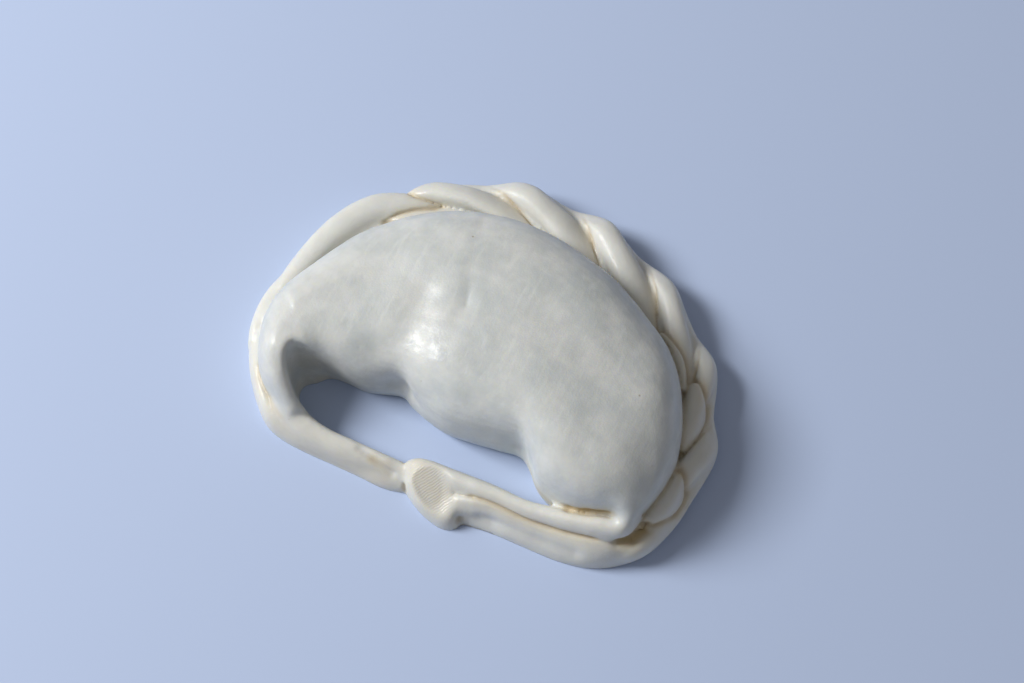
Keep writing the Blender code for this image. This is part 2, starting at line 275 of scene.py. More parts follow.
pinch = {       # the pressed end of the right horn, over the left one
    "rows": [
        (-7.6, -33.2, 6.8, 1.8, 4.6), (-4.8, -34.0, 8.0, 3.4, 5.6), (-1.0, -35.3, 8.2, 4.2, 6.0),
        (3.0, -36.8, 7.2, 4.2, 6.0), (6.6, -38.4, 5.4, 3.2, 5.0), (9.0, -39.4, 3.6, 1.8, 4.0),
    ],
    "lean": -0.25,
}

# Rolls beside the rim. Rows: distance along it, distance out of it, top, half width, half height.
leftRim = {
    "rows": [
        (20.0, 0.9, 6.8, 1.6, 4.6), (26.0, 0.9, 7.4, 2.2, 5.0), (33.0, 0.6, 7.6, 2.4, 5.0),
        (43.0, -0.4, 7.2, 2.0, 4.8), (52.0, -2.0, 6.0, 1.6, 4.4),
    ],
}
rimBed = {
    "rows": [
        (16.0, -0.6, 5.0, 2.2, 4.0), (36.0, -1.8, 5.5, 3.4, 4.0), (48.0, -3.2, 6.4, 4.4, 5.0),
        (60.0, -3.4, 7.0, 4.8, 5.4), (72.0, -3.6, 7.4, 4.8, 5.6), (80.0, -3.6, 7.0, 3.6, 5.4),
    ],
}
longFold = {
    "rows": [
        (22.0, -0.2, 6.8, 1.4, 4.4), (30.0, -0.4, 7.6, 2.0, 4.8), (40.0, -0.7, 8.3, 2.9, 5.0),
        (50.0, -0.5, 9.0, 3.7, 5.2), (58.0, 0.0, 9.5, 4.2, 5.4), (66.0, 0.2, 9.6, 4.2, 5.4),
        (74.0, -1.4, 9.0, 3.2, 4.8), (80.0, -3.4, 8.0, 1.9, 4.2), (85.0, -4.8, 6.6, 0.9, 3.2),
    ],
}
# The twisted rope along the back. Rows: distance along the rim, distance out of it, half width
# on its outer side and on the side tucked under the belly, top, half height.
rope = {
    "rows": [
        (64.0, -2.2, 1.8, 4.0, 6.6, 4.6), (70.0, -1.8, 3.4, 6.0, 8.6, 5.2),
        (78.0, -1.4, 5.2, 7.0, 10.0, 5.6), (87.0, -1.1, 6.6, 7.6, 10.8, 5.8),
        (95.0, -1.1, 6.7, 7.6, 11.0, 5.8), (115.0, -1.0, 6.8, 7.8, 11.2, 5.8),
        (140.0, -0.9, 6.5, 7.4, 11.0, 5.8), (160.0, -0.8, 6.4, 6.6, 10.7, 5.6),
        (175.0, -0.7, 6.2, 6.0, 10.2, 5.4), (190.0, -0.6, 5.9, 5.0, 9.8, 5.2),
        (203.0, -0.2, 4.6, 4.0, 8.2, 4.6), (209.0, 0.4, 3.0, 3.0, 6.0, 3.6),
        (213.0, 0.8, 2.0, 2.4, 4.6, 3.0),
    ],
    # where one strand goes under the next. Rows: distance along the rim, distance out of it.
    "creases": [
        [(62.0, 6.0), (66.5, 3.0), (72.5, 0.0), (80.7, -3.0), (90.0, -6.0), (98.0, -9.0)],
        [(89.5, 6.0), (93.0, 3.0), (97.0, 0.0), (102.0, -3.0), (107.2, -6.0), (112.0, -9.0)],
        [(111.2, 6.0), (114.7, 3.0), (118.0, 0.0), (122.1, -3.0), (127.1, -6.0), (132.0, -9.0)],
        [(129.5, 6.0), (134.4, 3.0), (139.8, 0.0), (145.4, -3.0), (152.0, -6.0), (157.0, -9.0)],
        [(151.0, 6.0), (155.8, 3.0), (161.6, 0.0), (167.5, -3.0), (172.0, -6.0), (176.0, -9.0)],
        [(169.5, 6.0), (173.4, 3.0), (177.8, 0.0), (182.6, -3.0), (187.0, -6.0), (190.0, -9.0)],
        [(188.0, 6.0), (191.6, 3.0), (195.4, 0.0), (200.5, -3.0), (205.0, -6.0), (208.0, -9.0)],
    ],
    "firstStrand": 30.0,   # length of the strand before the first crease
    "lastStrand": 34.0,    # and of the one after the last
    "depth": (1.5, 2.0),   # of the valleys on the sides, and what the top adds
    "topFrom": (-0.2, 0.7),   # how far up the section the top's share begins, and is full
    "crest": 0.4,          # where a strand is highest, from 0 to 1 across it
    "rise": 0.22,          # how high it starts beside its crease
    "bulge": (2.6, 1.7),   # roundness of the way up and of the way down
    "softBulge": 0.85,     # 1 puts the soft form's crest in the middle, and less brings it forward
    "softFrom": (1.5, 5.5),   # where the soft form takes over, in distance out of the rim
    "squareness": 2.2,
    "around": 110,
}
# Thin leaves of dough tucked into the last strands. Rows: distance along the rim, distance out
# of it, top, half width, half height.
leaves = {
    "lens": [
        (148.5, -4.6, 9.4, 0.7, 4.4), (152.0, -3.6, 11.0, 1.4, 5.0), (157.0, -3.0, 11.5, 1.7, 5.0),
        (162.0, -2.9, 10.8, 1.3, 4.8), (166.5, -3.1, 9.2, 0.7, 4.0),
    ],
    "first": [
        (162.6, 0.2, 8.6, 1.0, 4.6), (165.2, -0.2, 11.0, 2.2, 5.2), (170.0, -0.8, 11.7, 2.9, 5.4),
        (175.5, -1.7, 11.1, 2.6, 5.2), (181.5, -2.9, 9.0, 1.4, 4.6),
    ],
    "second": [
        (184.0, -2.2, 8.4, 0.9, 4.6), (186.8, -1.3, 10.3, 2.1, 5.2), (191.5, -0.5, 11.0, 2.8, 5.4),
        (196.5, -0.3, 10.4, 2.7, 5.2), (202.0, -0.8, 8.6, 1.4, 4.6),
    ],
}


def rimRoll(rows):
    rows = np.array(rows, float)
    places = besideRim(rows[:, 0], rows[:, 1])
    return rollRings(np.hstack([places, rows[:, 2:]]))


def strandPlace(along, outward):
    # how far across its strand a place is, and the distances to the creases before and after
    edges = [np.interp(outward, *np.array(row[::-1]).T[::-1]) for row in rope["creases"]]
    edges = np.stack([edges[0] - rope["firstStrand"]] + edges + [edges[-1] + rope["lastStrand"]])
    index = np.clip((along > edges).sum(axis=0) - 1, 0, len(edges) - 2)
    low = np.take_along_axis(edges, index[None], axis=0)[0]
    high = np.take_along_axis(edges, index[None] + 1, axis=0)[0]
    return np.clip((along - low) / (high - low), 0.0, 1.0), along - low, high - along


def strandRise(along, outward):
    # a step up out of the crease to a round crest, then a long slope; softer on the outer side
    across = strandPlace(along, outward)[0]
    crest, least = rope["crest"], rope["rise"]
    upBulge, downBulge = rope["bulge"]
    up = least + (1.0 - least) * (1.0 - np.clip(1.0 - across / crest, 0.0, 1.0) ** upBulge)
    down = 1.0 - np.clip((across - crest) / (1.0 - crest), 0.0, 1.0) ** downBulge
    soft = 0.5 - 0.5 * np.cos(2 * math.pi * across ** rope["softBulge"])
    return soft + (np.minimum(up, down) - soft) * (1.0 - step(*rope["softFrom"], outward))


def ropeRings():
    rows = catmull(rope["rows"], fineStep)
    along, centre, outer, inner, top, high = (column[:, None] for column in rows.T)
    angle = np.linspace(0.0, 2 * math.pi, rope["around"], endpoint=False)[None, :]
    across = power(np.cos(angle), 2 / rope["squareness"])
    upward = power(np.sin(angle), 2 / rope["squareness"])
    reach = lengths(rows)[:, None]
    ends = roundEnd(reach, outer)
    outward = centre + np.where(across > 0, outer, inner) * across * ends
    z = top - high + high * upward * ends
    side, crown = rope["depth"]
    depth = side + crown * step(*rope["topFrom"], upward)
    sink = (strandRise(along + 0 * outward, outward) - 1.0) * depth
    places = besideRim(along + 0 * outward, outward + sink * np.cos(angle))
    return np.concatenate([places, (z + sink * np.sin(angle))[..., None]], axis=-1)


def doughParts():
    # every roll by name, still overlapping
    parts = [("belly", skin(bellyRings())), ("rope", skin(ropeRings()))]
    horns = {
        "hornUpper": hornUpper, "hornLower": hornLower, "hornInner": hornInner,
        "hornOuter": hornOuter, "pinch": pinch,
    }
    for name, piece in horns.items():
        parts.append((name, skin(rollRings(piece["rows"], lean=piece.get("lean", 0.0)))))
    for name, piece in (("leftRim", leftRim), ("rimBed", rimBed), ("longFold", longFold)):
        parts.append((name, skin(rimRoll(piece["rows"]))))
    for name, rows in leaves.items():
        parts.append((name, skin(rimRoll(rows))))
    return parts


def meshOf(name, points, faces):
    mesh = bpy.data.meshes.new(name)
    mesh.from_pydata([tuple(p) for p in np.asarray(points) * mm], [], faces)
    mesh.update()
    return mesh


def linked(name, mesh):
    obj = bpy.data.objects.new(name, mesh)
    bpy.context.scene.collection.objects.link(obj)
    return obj


def applied(obj):
    graph = bpy.context.evaluated_depsgraph_get()
    obj.data = bpy.data.meshes.new_from_object(obj.evaluated_get(graph))
    obj.modifiers.clear()


fusing = {
    "voxel": (0.38, 0.5),
    "softenPasses": (4, 3),
    "softenFactor": 0.5,
    "blendPasses": (26, 14),
    "blendFactor": 0.6,
    "leastWeight": 0.01,
    "colourPasses": 60,
    "block": (0.2, 0.2, 0.02),  # in metres, cuts it flat
}


def fused(parts):
    # one skin round all the rolls, softened, and cut flat where it lies on the table
    objects = [linked(name, meshOf(name, *shape)) for name, shape in parts]
    obj = objects[0]
    obj.name = "rawEmpanada"
    for other in objects[1:]:
        join = obj.modifiers.new("join", "BOOLEAN")
        join.operation = "UNION"
        join.solver = "MANIFOLD"
        join.object = other
    applied(obj)
    for other in objects[1:]:
        bpy.data.objects.remove(other, do_unlink=True)
    remesh = obj.modifiers.new("fuse", "REMESH")
    remesh.mode = "VOXEL"
    remesh.voxel_size = fusing["voxel"][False] * mm
    soften = obj.modifiers.new("soften", "SMOOTH")
    soften.factor = fusing["softenFactor"]
    soften.iterations = fusing["softenPasses"][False]
    bpy.ops.mesh.primitive_cube_add(size=1.0)
    block = bpy.context.object
    block.scale = fusing["block"]
    block.location = (0.0, 0.0, -fusing["block"][2] / 2)
    cut = obj.modifiers.new("flatUnderside", "BOOLEAN")
    cut.operation = "DIFFERENCE"
    cut.object = block
    applied(obj)
    bpy.data.objects.remove(block, do_unlink=True)
    return obj


def read(obj):
    mesh = obj.data
    co = np.empty(len(mesh.vertices) * 3)
    mesh.vertices.foreach_get("co", co)
    normal = np.empty(len(mesh.vertices) * 3)
    mesh.vertices.foreach_get("normal", normal)
    return co.reshape(-1, 3) / mm, normal.reshape(-1, 3)


def moved(obj, points):
    obj.data.vertices.foreach_set("co", (points * mm).ravel())
    obj.data.update()


def attribute(obj, name, values):
    layer = obj.data.attributes.new(name, "FLOAT", "POINT")
    layer.data.foreach_set("value", np.asarray(values, dtype=np.float32))


# Rolls that are one sheet of dough, so no crease is made where they meet.
oneSheet = [
    ("leftRim", "hornLower", "rimBed", "longFold"), ("hornInner", "pinch"), ("belly", "hornUpper"),
    ("rope", "hornOuter"),
]
creases = {
    "reach": 3.0,             # how far away the skin of the next roll is looked for
    "joint": (0.4, 0.6),      # width and depth where one roll meets another
    "strand": (0.35, 0.4),    # width and depth between the rope's strands
    "slant": 0.6,             # turns a distance along the rim into one across a slanting crease
    "outerLoss": 0.7,         # what the strands' creases lose on the outer side
    "jointPaintedGlowShade": (1.3, 0.8),  # width and strength of the painted yellow glow and shade in them
    "strandPaintedGlowShade": (2.4, 1.15),
}
fades = {   # where each one begins and where it is full, in height or distance along or out
    "offTable": (0.2, 2.0),
    "blend": (0.5, 1.2),         # the edge of a round place, counted in its radius
    "ropeAlong": (86.0, 91.0),   # where the strands' creases start
    "ropeOut": (2.0, 4.5),
    "lineOut": (-2.0, 3.0),
    "paintedGlowShadeOut": (-1.0, 3.5),
    "startAlong": (66.0, 70.0),  # the rope's beginning, which has no joint outside
    "startEnd": (84.0, 90.0),
    "startOut": (0.5, 2.5),
}
waves = [(13.0, 1, 0.3), (5.0, 2, 0.1)]   # unevenness of the dough: size, seed, height


def nearness(points, parts):
    # for each point, the nearest roll, and how far away the skin of the next separate one is
    sheet = list(range(len(parts)))
    names = [name for name, _ in parts]
    for members in oneSheet:
        for name in members:
            sheet[names.index(name)] = names.index(members[0])
    sheet = np.array(sheet)
    reach = creases["reach"]
    nearest = np.full(len(points), reach)
    second = np.full(len(points), reach)
    owner = np.zeros(len(points), int)
    for k, (_, (corners, sides)) in enumerate(parts):
        tree = BVHTree.FromPolygons([tuple(c) for c in corners], sides)
        low, high = corners.min(axis=0) - reach, corners.max(axis=0) + reach
        for i in np.where(((points > low) & (points < high)).all(axis=1))[0]:
            found = tree.find_nearest(points[i], reach)
            if found[3] is None:
                continue
            joined = sheet[owner[i]] == sheet[k] and nearest[i] < reach
            if found[3] < nearest[i]:
                if not joined:
                    second[i] = nearest[i]
                nearest[i], owner[i] = found[3], k
            elif found[3] < second[i] and not joined:
                second[i] = found[3]
    return owner, second


def wander(points, size, seed):
    # smooth noise from -1 to 1 with bumps of this size
    shift = Vector((seed * 7.3, seed * 3.1, seed * 1.7))
    return np.array([noise.noise(Vector(p) / size + shift) for p in points])


# Where two rolls run into one another without a crease. Rows: x, y, z, radius.
blends = [
    [(42.5, -18.0, 15.0, 4.0), (43.8, -23.0, 14.0, 5.0), (42.8, -27.0, 12.0, 4.4),
     (40.5, -28.6, 11.0, 3.4)],
    [(-41.0, -30.0, 12.0, 4.0), (-37.0, -33.5, 8.0, 5.0), (-34.0, -36.6, 4.6, 4.2),
     (-25.0, -37.4, 3.6, 3.6), (-17.0, -37.0, 3.8, 3.0), (-9.0, -36.8, 3.0, 2.4)],
    [(-38.5, 28.0, 0.5, 3.6), (-34.0, 31.5, 0.5, 3.6)],
    [(6.0, -31.8, 8.0, 3.4), (-1.0, -33.2, 8.0, 3.4), (-6.0, -33.4, 7.0, 3.0)],
    [(3.0, -36.6, 6.5, 3.4), (8.0, -36.6, 5.5, 3.0)],
    [(27.0, -27.0, 9.0, 1.6), (31.1, -26.6, 10.5, 1.8), (34.6, -25.3, 11.5, 1.8),
     (38.0, -23.4, 12.0, 1.8)],
    [(-12.5, -35.4, 5.5, 2.6), (-7.5, -35.6, 5.0, 2.4)],
    [(-28.8, 25.7, 9.5, 2.0), (-26.2, 26.8, 9.5, 2.0), (-23.6, 27.5, 9.5, 2.0)],
    [(51.0, -20.0, 4.0, 3.4), (48.5, -26.0, 3.5, 3.6), (43.0, -30.5, 3.5, 3.4)],
    [(-48.0, -25.0, 7.0, 3.0), (-52.0, -17.0, 7.0, 3.0), (-53.0, -11.0, 6.0, 3.0)],
    [(-51.0, 2.0, 7.0, 2.5), (-47.0, 12.0, 7.0, 3.0), (-41.0, 20.0, 7.0, 3.0)],
]
# Dents and lines pressed into the dough, or raised where the depth is below zero. Rows: x, y, z,
# then radius and depth.
dents = [
    # the scoop right of the pinch
    ([(11.0, -38.0, 3.0), (15.0, -37.2, 3.6)], 3.2, 1.0),
    # the slit behind the nose, and the pocket lower down, right of it
    ([(30.8, -26.7, 10.3), (34.6, -25.3, 11.5), (38.0, -23.4, 12.2)], 1.3, 2.2),
    ([(43.2, -27.8, 8.0), (45.6, -26.4, 8.0), (47.0, -23.2, 8.5)], 1.3, 3.0),
    # valleys between the bulges
    ([(-23.5, -15.0, 16.0), (-17.8, -18.0, 10.0)], 4.4, 0.8),
    ([(-19.0, -2.0, 25.5), (-16.6, -11.0, 21.0), (-15.0, -18.5, 10.0)], 4.2, 0.9),
    ([(12.8, -15.0, 14.0), (14.6, -19.0, 10.0)], 3.6, 0.6),
    # an old crease over the belly
    ([(-15.3, 20.2, 23.0), (-9.3, 0.1, 27.0), (-7.0, -18.8, 17.0)], 2.0, 0.32),
    ([(-15.0, 20.0, 23.0), (-9.0, 0.0, 27.0)], 0.6, 0.14),
    # the nose's edge
    ([(43.2, -17.0, 16.5), (43.8, -23.0, 14.8), (43.4, -28.4, 12.6)], 1.8, -0.15),
    # a nick above the hole
    ([(-40.5, -23.4, 20.0), (-38.0, -22.8, 18.5)], 0.9, 0.35),
    # the outer ribbon's rib, and the hollow below it
    ([(7.0, -35.2, 7.0), (14.0, -33.6, 8.0), (26.0, -33.4, 8.4)], 0.9, -0.3),
    ([(13.0, -36.3, 4.2), (19.0, -35.5, 4.6), (27.0, -35.3, 4.6), (35.0, -34.3, 4.8)], 1.9, 0.5),
    # the left horn's inner edge, and the crease near its tip
    ([(-33.0, -33.8, 7.6), (-27.0, -34.4, 7.0), (-20.0, -34.2, 6.8), (-12.0, -34.0, 6.4)], 1.7, -0.35),
    ([(-18.0, -34.8, 7.6), (-13.1, -35.9, 6.4), (-9.4, -36.4, 5.2)], 1.0, 0.8),
]
# Places painted with yellow glow and shade, as light going through the dough would give: thin or folded
# places, and some shaded ones. Rows: x, y, z, then radius and strength.
paintedGlowShadePlaces = [
    ([(17.5, -21.4, 6.5), (21.5, -24.8, 6.0), (26.0, -25.8, 6.0), (31.0, -25.4, 6.5)], 1.8, 1.1),
    ([(30.0, -26.9, 9.5), (32.5, -26.3, 11.0), (34.6, -25.3, 12.0), (38.0, -23.6, 13.0)], 2.0, 2.0),
    ([(-44.3, -32.1, 7.5), (-41.3, -34.6, 7.5), (-37.5, -37.0, 7.5)], 1.2, 1.0),
    ([(-36.5, -33.0, 4.0), (-37.5, -27.0, 2.0), (-33.5, -20.5, 1.0)], 2.6, 0.6),
    # painted shade on the left horn's flank, which faces away from the lamp
    ([(-36.0, -37.0, 4.6), (-24.0, -37.6, 3.0), (-12.0, -37.4, 2.8)], 4.0, 0.5),
    ([(-15.0, -35.4, 6.0), (-10.3, -36.0, 6.0)], 1.2, 1.2),
    # painted shade on the pinch's pressed face
    ([(-4.0, -33.5, 7.5), (3.0, -37.0, 5.6)], 4.0, 0.6),
    # painted shade in the hollow under the curl at the hole's left end
    ([(-41.0, -24.0, 13.0), (-36.5, -21.5, 11.0)], 5.0, 0.4),
    ([(43.2, -27.6, 6.2), (45.4, -26.2, 6.0), (46.8, -23.2, 6.4)], 2.2, 2.0),
    ([(46.0, -14.0, 8.5), (47.0, -16.5, 8.5)], 1.8, 0.7),
]
# Painted light: the belly's lower front is made paler here. Rows: x, y, z, then radius.
paintedLight = [
    ([(-6.0, -18.0, 11.0), (6.0, -20.0, 10.0), (14.0, -17.0, 10.0), (26.0, -22.0, 10.0),
      (34.0, -20.0, 14.0)], 9.0),
]
press = {   # a fingertip's flat print on the pinch
    "spot": (-0.6, -34.9),
    "size": (8.0, 4.4),
    "turn": -35.0,
    "height": 6.7,
    "slope": (-0.16, 0.52),
}


def awayFrom(points, line):
    # distance to a line of places, and how far along it the nearest one lies, counted in rows
    line = np.array(line, float)
    line[:, :2] += tableShift
    best, spot = np.full(len(points), 1e9), np.zeros(len(points))
    for k, (a, b) in enumerate(zip(line[:-1, :3], line[1:, :3])):
        t = np.clip((points - a) @ (b - a) / ((b - a) @ (b - a)), 0.0, 1.0)
        away = np.linalg.norm(points - a - t[:, None] * (b - a), axis=1)
        spot = np.where(away < best, k + t, spot)
        best = np.minimum(best, away)
    return best, spot


def softened(obj, values, weight, passes):
    # the values drawn towards their neighbours' mean, as far as the weight says
    edges = np.empty(len(obj.data.edges) * 2, int)
    obj.data.edges.foreach_get("vertices", edges)
    ends = np.concatenate([edges.reshape(-1, 2), edges.reshape(-1, 2)[:, ::-1]])
    near = ends[weight[ends[:, 0]] > fusing["leastWeight"]]
    count = np.maximum(np.bincount(near[:, 0], minlength=len(values)), 1)[:, None]
    pull = np.where(weight > fusing["leastWeight"], weight * fusing["blendFactor"], 0.0)[:, None]
    values = values.copy()
    for _ in range(passes):
        sums = [np.bincount(near[:, 0], column[near[:, 1]], len(values)) for column in values.T]
        values += (np.stack(sums, axis=1) / count - values) * pull
    return values


def rimPlace(points):
    # distance along the rim's line and distance out of it
    flat = points[:, :2] - tableShift
    along = np.zeros(len(points))
    outward = np.zeros(len(points))
    run = np.gradient(rimPoints, axis=0)
    run /= np.linalg.norm(run, axis=1)[:, None]
    chunk = 20000    # at a time, to save memory
    for first in range(0, len(points), chunk):
        part = flat[first:first + chunk]
        nearest = ((part[:, None] - rimPoints[None]) ** 2).sum(axis=2).argmin(axis=1)
        offset = part - rimPoints[nearest]
        ahead = run[nearest]
        along[first:first + chunk] = rimAlong[nearest] + (offset * ahead).sum(axis=1)
        outward[first:first + chunk] = offset[:, 1] * ahead[:, 0] - offset[:, 0] * ahead[:, 1]
    return along, outward


def shaped(points, rows, radius):
    # 1 on a line of places, fading to 0 round it
    return np.exp(-(awayFrom(points, rows)[0] / radius) ** 2)


def blended(obj):
    # smooths the mesh where rolls run into one another, and says where
    points = read(obj)[0]
    blend = np.zeros(len(points))
    for rows in blends:
        away, spot = awayFrom(points, rows)
        radius = np.interp(spot, range(len(rows)), [row[3] for row in rows])
        blend = np.maximum(blend, 1.0 - step(*fades["blend"], away / radius))
    moved(obj, softened(obj, points, blend, fusing["blendPasses"][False]))
    return blend


def printed(points):
    # presses the fingertip's print in, and says where it is
    turn = math.radians(press["turn"])
    offset = points[:, :2] - tableShift - press["spot"]
    turned = offset @ np.array([
        [math.cos(turn), -math.sin(turn)],
        [math.sin(turn), math.cos(turn)],
    ])
    pressed = 1.0 - step(*fades["blend"], np.linalg.norm(turned / press["size"], axis=1))
    flat = press["height"] + offset @ press["slope"]
    points[:, 2] -= np.maximum(points[:, 2] - flat, 0.0) * pressed
    return pressed


def detail(obj, parts):
    owner, second = nearness(read(obj)[0], parts)
    names = [name for name, _ in parts]
    blend = blended(obj)
    points, normals = read(obj)
    above = step(*fades["offTable"], points[:, 2])
    plain = (1.0 - blend) * above

    # the creases between the strands, which fade on the rope's outer side
    along, outward = rimPlace(points)
    _, after, before = strandPlace(along, outward)
    onRope = (owner == names.index("rope")) * step(*fades["ropeAlong"], along)
    onRope = onRope * (1.0 - step(*fades["ropeOut"], outward))
    gap = np.where(after < before, after, before) * creases["slant"]
    width, strandDepth = creases["strand"]
    outside = 1.0 - creases["outerLoss"] * step(*fades["lineOut"], outward)
    line = np.exp(-(gap / width) ** 2) * onRope * outside

    # the creases where rolls meet, but not outside the rope's beginning
    ropeStart = step(*fades["startAlong"], along) * (1.0 - step(*fades["startEnd"], along))
    ropeStart = ropeStart * step(*fades["startOut"], outward)
    width, jointDepth = creases["joint"]
    joint = np.exp(-(second / width) ** 2) * (1.0 - ropeStart)

    depth = jointDepth * joint * plain + strandDepth * line * above
    for rows, radius, dent in dents:
        depth = depth + dent * shaped(points, rows, radius)
    uneven = sum(wander(points, size, seed) * high for size, seed, high in waves)
    points = points + normals * (uneven * above - depth)[:, None]
    pressed = printed(points)
    moved(obj, points)

    # what the material reads
    # painted yellow glow and shade beside the strands' creases and where rolls meet
    width, strength = creases["strandPaintedGlowShade"]
    strandPaintedGlowShade = strength * np.exp(-np.maximum(before, 0.0) * creases["slant"] / width) * onRope
    width, strength = creases["jointPaintedGlowShade"]
    jointPaintedGlowShade = np.exp(-(second / width) ** 2) * plain * strength
    paintedGlowShade = np.maximum(strandPaintedGlowShade * (1.0 - step(*fades["paintedGlowShadeOut"], outward)), jointPaintedGlowShade)
    # more painted glow and shade at the listed places
    for rows, radius, strength in paintedGlowShadePlaces:
        paintedGlowShade = np.maximum(paintedGlowShade, strength * shaped(points, rows, radius))
    # where the painted glow is strongest it turns into the painted shade of a fold's bottom
    paintedPocketShade = np.clip(paintedGlowShade - 1.0, 0.0, 1.0)
    onBelly = (owner == names.index("belly")).astype(float)[:, None]
    attribute(obj, "paintedCreaseShade", np.maximum(np.maximum(line, joint * plain), paintedPocketShade))
    attribute(obj, "paintedGlowShade", paintedGlowShade)
    attribute(obj, "belly", softened(obj, onBelly, blend, fusing["colourPasses"])[:, 0])
    attribute(obj, "pressed", pressed)
    # painted light on the belly's lower front
    attribute(obj, "paintedLight", sum(shaped(points, rows, radius) for rows, radius in paintedLight))


def linear(hexCode):
    # an sRGB hex colour as linear values
    parts = [int(hexCode[i:i + 2], 16) / 255 for i in (0, 2, 4)]
    return tuple(c / 12.92 if c <= 0.04045 else ((c + 0.055) / 1.055) ** 2.4 for c in parts) + (1.0,)


def newMaterial(name):
    material = bpy.data.materials.new(name)
    material.use_nodes = True
    tree = material.node_tree
    return material, tree, tree.nodes["Principled BSDF"]


def add(tree, kind, settings=None, **links):
    # one node with its settings; each link names a socket, or gives its number after an i, and
    # says what goes into it, a value or another node's output
    node = tree.nodes.new(kind)
    for key, value in (settings or {}).items():
        setattr(node, key, value)
    for name, value in links.items():
        numbered = name[0] == "i" and name[1:].isdigit()
        socket = node.inputs[int(name[1:]) if numbered else name]
        if isinstance(value, bpy.types.NodeSocket):
            tree.links.new(value, socket)
        else:
            socket.default_value = value
    return node


dough = {
    "belly": "c3c7c5",   # thin sheet over the filling: grey-white, cool
    "bellyWarm": "d3d4d0",
    # painted light: the paler colour laid on the belly's lower front
    "paintedLight": "e2e5e2",
    "rope": "d9d9d3",    # thicker dough, creamier
    "paintedGlowShade": "cdb888",    # painted glow and shade: the moist folds drawn yellower and darker, as light going through them looks
    "paintedCreaseShade": "ae9054",    # painted shade at the bottom of a fold
    "scuff": "dfe1dc",   # drier streaks where it was rubbed
    "speck": "8a7a5c",   # bran and dried crumbs
}
strengths = {   # how much of each one is laid over what is under it, or goes into the relief
    "paintedLight": 0.85, "smear": 0.6, "paintedGlowShade": 0.38, "paintedCreaseShade": 0.48, "scuff": 0.35, "speck": 0.6,
    "grain": 0.25, "wrinkle": 0.35, "ridges": 0.24, "patches": 0.16,
}
textures = {   # size of the bumps in millimetres, octaves, roughness
    "cloud": (10.0, 4.0, 0.55),
    "smear": (5.0, 5.0, 0.6),
    "scuff": (1.8, 4.0, 0.6),
    "damp": (2.2, 5.0, 0.7),
    "grain": (0.5, 3.0, 0.6),
    "wrinkle": (1.6, 4.0, 0.6),
    "patches": (11.0, 1.0, 0.4),
}
ranges = {   # two values of a texture, and what they become, 0 and 1 where nothing is said
    "cloud": (0.35, 0.65),
    "smear": (0.3, 0.7, 0.93, 1.05),
    "scuff": (0.54, 0.72),
    "chance": (0.86, 0.87),
    "speck": (0.07, 0.03),
    "roughness": (0.35, 0.65, 0.38, 0.6),
    "coat": (0.3, 0.6, 0.4, 0.1),
    "patches": (0.56, 0.66),
}
swept = {    # a texture's turn in radians, and its scale across that, less for longer streaks
    "scuff": (0.75, 0.16),
    "wrinkle": (0.9, 0.25),
    "ridges": (0.6, 1.0),
}
speckSpacing = 5.0     # in millimetres
ridgeSpacing = 0.55
ridgeWave = {"Scale": 0.314 / (ridgeSpacing * mm), "Distortion": 5.0, "Detail": 1.0, "Detail Scale": 0.6}
bumps = {"Strength": 0.7, "Distance": 0.25 * mm}
surface = {
    "IOR": 1.4,
    "Subsurface Weight": 0.4,
    "Subsurface Radius": (1.0, 0.75, 0.4),
    "Subsurface Scale": 0.0018,
    "Coat Roughness": 0.18,
}


def per(size):
    # a texture's scale for bumps of this size in millimetres
    return 1.0 / (size * mm)


def mixed(tree, amount, first, second, blend="MIX"):
    settings = {"data_type": "RGBA", "blend_type": blend}
    return add(tree, "ShaderNodeMix", settings, i0=amount, i6=first, i7=second).outputs[2]


def maths(tree, operation, *values):
    named = {f"i{k}": value for k, value in enumerate(values)}
    return add(tree, "ShaderNodeMath", {"operation": operation}, **named).outputs[0]


def times(tree, first, second):
    return maths(tree, "MULTIPLY", first, second)


def ranged(tree, value, name):
    low, high, least, most = (*ranges[name], 0.0, 1.0)[:4]
    return add(tree, "ShaderNodeMapRange", i0=value, i1=low, i2=high, i3=least, i4=most).outputs[0]


def reader(tree, name):
    return add(tree, "ShaderNodeAttribute", {"attribute_name": name}).outputs["Fac"]


def noiseOf(tree, place, name):
    size, octaves, roughness = textures[name]
    links = {"Vector": place, "Scale": per(size), "Detail": octaves, "Roughness": roughness}
    return add(tree, "ShaderNodeTexNoise", **links).outputs[0]


def stretched(tree, place, name):
    turn, shorter = swept[name]
    links = {"i0": place, "Rotation": (0.0, 0.0, turn), "Scale": (1.0, shorter, 1.0)}
    return add(tree, "ShaderNodeMapping", **links).outputs[0]


